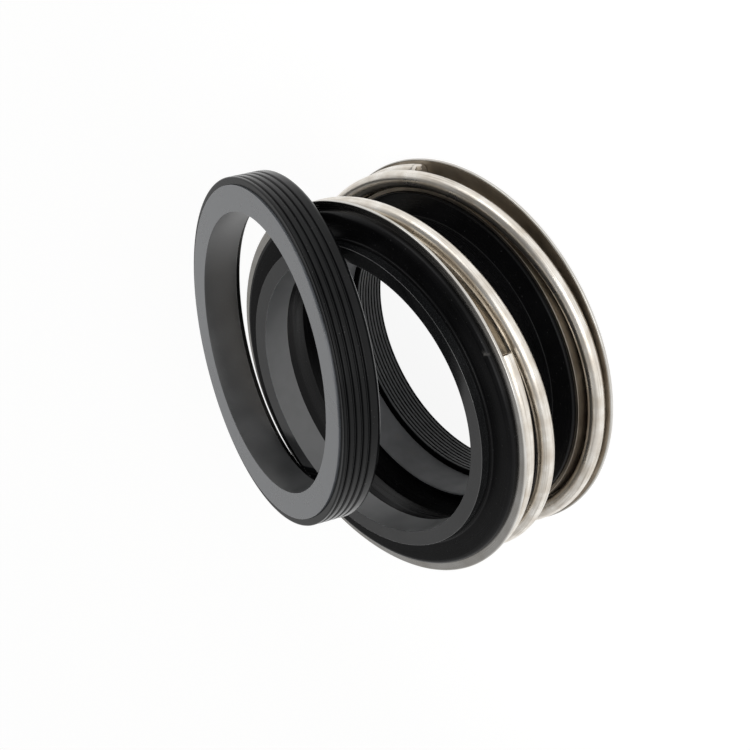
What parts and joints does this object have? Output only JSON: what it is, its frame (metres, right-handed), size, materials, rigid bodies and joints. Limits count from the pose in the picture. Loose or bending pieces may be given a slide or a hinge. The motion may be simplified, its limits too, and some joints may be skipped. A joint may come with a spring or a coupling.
{
  "type": "mechanical seal",
  "caption": "Rubber-bellows shaft seal: a spring-loaded rotating head with a lapped nose, and a lapped stationary seat in a ribbed rubber cup.",
  "frame": {"origin": "on the shaft's axis at the rear face of the rotating head, which is the face that the head stands on", "axes": "+Z along the shaft's axis, from the rear of the head towards its lapped nose; the seat lies across the nose, offset between +X and +Y"},
  "size_m": [0.1241, 0.122, 0.0637],
  "materials": {
    "bellows_rubber": "satin black moulded rubber",
    "cup_rubber": "satin black moulded rubber",
    "stainless_sheet": "pressed stainless sheet, half bright",
    "spring_wire": "drawn stainless wire, half bright",
    "seal_ring": "lapped dark grey seal ring",
    "seat_ring": "lapped mid-grey seat ring"
  },
  "bodies": {
    "rear_end": {"bellows": "bellows_rubber", "rear_l_ring": "stainless_sheet", "spring": "spring_wire"},
    "face_end": {"seal_face_ring": "seal_ring", "front_l_ring": "stainless_sheet", "seat_ring": "seat_ring", "seat_cup": "cup_rubber"}
  },
  "joints": [
    {"name": "head_compression", "type": "slide", "parent": "rear_end", "child": "face_end", "axis": [0, 0, 1], "range_m": [-0.005, 0], "stiffness_N_per_m": 12000, "deforming": ["spring", "bellows"]}
  ]
}
